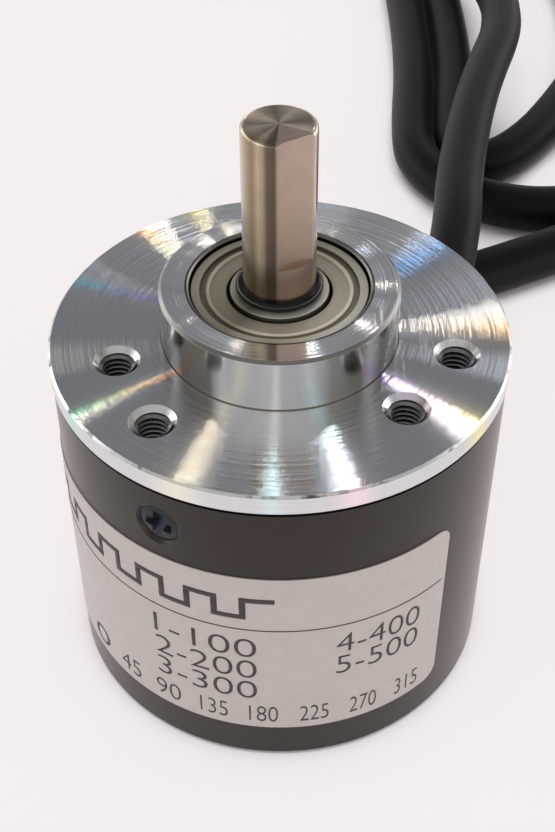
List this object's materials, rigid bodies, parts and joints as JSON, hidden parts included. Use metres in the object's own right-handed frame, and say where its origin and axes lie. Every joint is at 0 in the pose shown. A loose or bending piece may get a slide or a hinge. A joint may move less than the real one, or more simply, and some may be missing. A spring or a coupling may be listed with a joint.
{
  "type": "rotary encoder",
  "caption": "Shafted incremental rotary encoder with a turned flange, pilot spigot, ball bearings, slotted code disc inside a black can, and a side cable in a loose hank.",
  "frame": {"origin": "centre of the mounting face, on the shaft axis", "axes": "+Z along the shaft towards its free end; the cable leaves the can 60 degrees from +X towards +Y"},
  "size_m": [0.0932, 0.2195, 0.054],
  "materials": {
    "turned_aluminium": "fine turned, bright",
    "black_anodised": "satin black anodised aluminium",
    "stainless_steel": "ground stainless steel",
    "bearing_steel": "ground bearing steel",
    "pressed_steel": "pressed steel sheet",
    "black_screw": "black oxide steel",
    "black_rubber": "moulded rubber",
    "label_film": "silver polyester film",
    "disc_film": "printed film",
    "black_plastic": "moulded plastic",
    "clear_glass": "clear",
    "board_laminate": "solder resist on glass epoxy",
    "capacitor_can": "drawn",
    "header_nylon": "moulded nylon",
    "core_insulation": "extruded PVC",
    "cable_jacket": "extruded PVC",
    "red_core": "extruded PVC",
    "black_core": "extruded PVC",
    "white_core": "extruded PVC",
    "green_core": "extruded PVC",
    "braid": "tinned copper braid"
  },
  "bodies": {
    "housing": {"mounting_flange": "turned_aluminium", "body_can": "black_anodised", "front_outer_race": "bearing_steel", "rear_outer_race": "bearing_steel", "front_shields": "pressed_steel", "rear_shields": "pressed_steel", "cable_crimp": "pressed_steel", "board_pillars": "pressed_steel", "can_screws": "black_screw", "board_screws": "black_screw", "flange_gasket": "black_rubber", "strain_relief": "black_rubber", "side_label": "label_film", "sensor_head": "black_plastic", "photo_sensor": "black_plastic", "line_driver_chip": "black_plastic", "hank_tie": "black_plastic", "sensor_reticle": "clear_glass", "emitter_led": "clear_glass", "circuit_board": "board_laminate", "smoothing_capacitor": "capacitor_can", "wire_header": "header_nylon", "core_wires": "core_insulation", "cable_lead": "cable_jacket", "cable_hank": "cable_jacket", "cable_tail": "cable_jacket", "red_lead": "red_core", "black_lead": "black_core", "white_lead": "white_core", "green_lead": "green_core", "shield_lead": "braid"},
    "rotor": {"shaft": "stainless_steel", "front_inner_race": "bearing_steel", "rear_inner_race": "bearing_steel", "shaft_o_ring": "black_rubber", "retaining_ring": "pressed_steel", "disc_hub": "turned_aluminium", "hub_set_screw": "black_screw", "code_disc": "disc_film"},
    "front_ball_set": {"front_balls": "bearing_steel", "front_cage": "pressed_steel"},
    "rear_ball_set": {"rear_balls": "bearing_steel", "rear_cage": "pressed_steel"}
  },
  "joints": [
    {"name": "shaft_spin", "type": "hinge", "parent": "housing", "child": "rotor", "pos_m": [0, 0, 0], "axis": [0, 0, 1], "continuous": true},
    {"name": "front_cage_spin", "type": "hinge", "parent": "housing", "child": "front_ball_set", "pos_m": [0, 0, 0.0021], "axis": [0, 0, 1], "continuous": true},
    {"name": "rear_cage_spin", "type": "hinge", "parent": "housing", "child": "rear_ball_set", "pos_m": [0, 0, -0.0099], "axis": [0, 0, 1], "continuous": true}
  ],
  "couplings": [
    {"joint": "front_cage_spin", "follows": "shaft_spin", "ratio": 0.3676},
    {"joint": "rear_cage_spin", "follows": "shaft_spin", "ratio": 0.3676}
  ]
}
